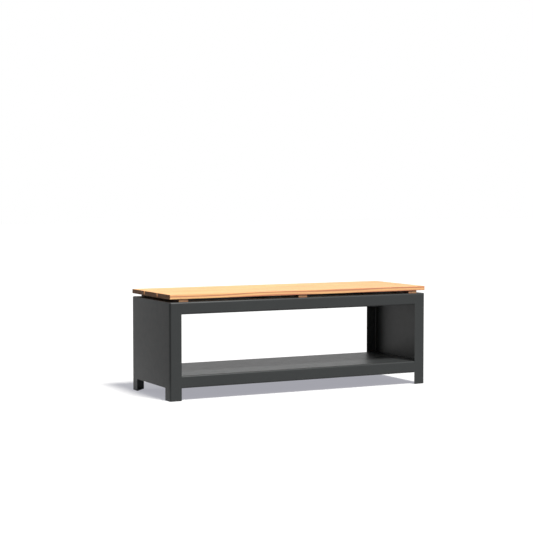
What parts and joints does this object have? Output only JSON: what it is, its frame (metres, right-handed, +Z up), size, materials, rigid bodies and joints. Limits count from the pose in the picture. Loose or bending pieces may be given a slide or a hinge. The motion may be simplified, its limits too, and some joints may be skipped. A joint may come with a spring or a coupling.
{
  "type": "log storage bench",
  "caption": "Low bench with a slatted wooden seat on a folded sheet-steel body whose open bay stores firewood.",
  "frame": {"origin": "centre of the footprint, on the floor", "axes": "+X along the length, to the right seen from the front; the front faces -Y; +Z up"},
  "size_m": [1.2, 0.4, 0.425],
  "materials": {
    "powder_coated_steel": "anthracite powder coat, fine satin texture",
    "seat_wood": "oiled hardwood, straight grain along the planks",
    "batten_wood": "oiled hardwood, sawn",
    "zinc_steel": "bright zinc plating"
  },
  "bodies": {
    "root": {"left_side_panel": "powder_coated_steel", "right_side_panel": "powder_coated_steel", "front_top_rail": "powder_coated_steel", "back_top_rail": "powder_coated_steel", "shelf": "powder_coated_steel", "left_shelf_channel": "powder_coated_steel", "right_shelf_channel": "powder_coated_steel", "left_crossbar": "powder_coated_steel", "middle_crossbar": "powder_coated_steel", "right_crossbar": "powder_coated_steel", "left_batten": "batten_wood", "middle_batten": "batten_wood", "right_batten": "batten_wood", "front_plank": "seat_wood", "middle_plank": "seat_wood", "back_plank": "seat_wood", "batten_screws": "zinc_steel", "fixing_screws": "zinc_steel", "fixing_washers": "zinc_steel", "front_left_foot": "powder_coated_steel", "front_right_foot": "powder_coated_steel", "back_left_foot": "powder_coated_steel", "back_right_foot": "powder_coated_steel"}
  },
  "joints": []
}
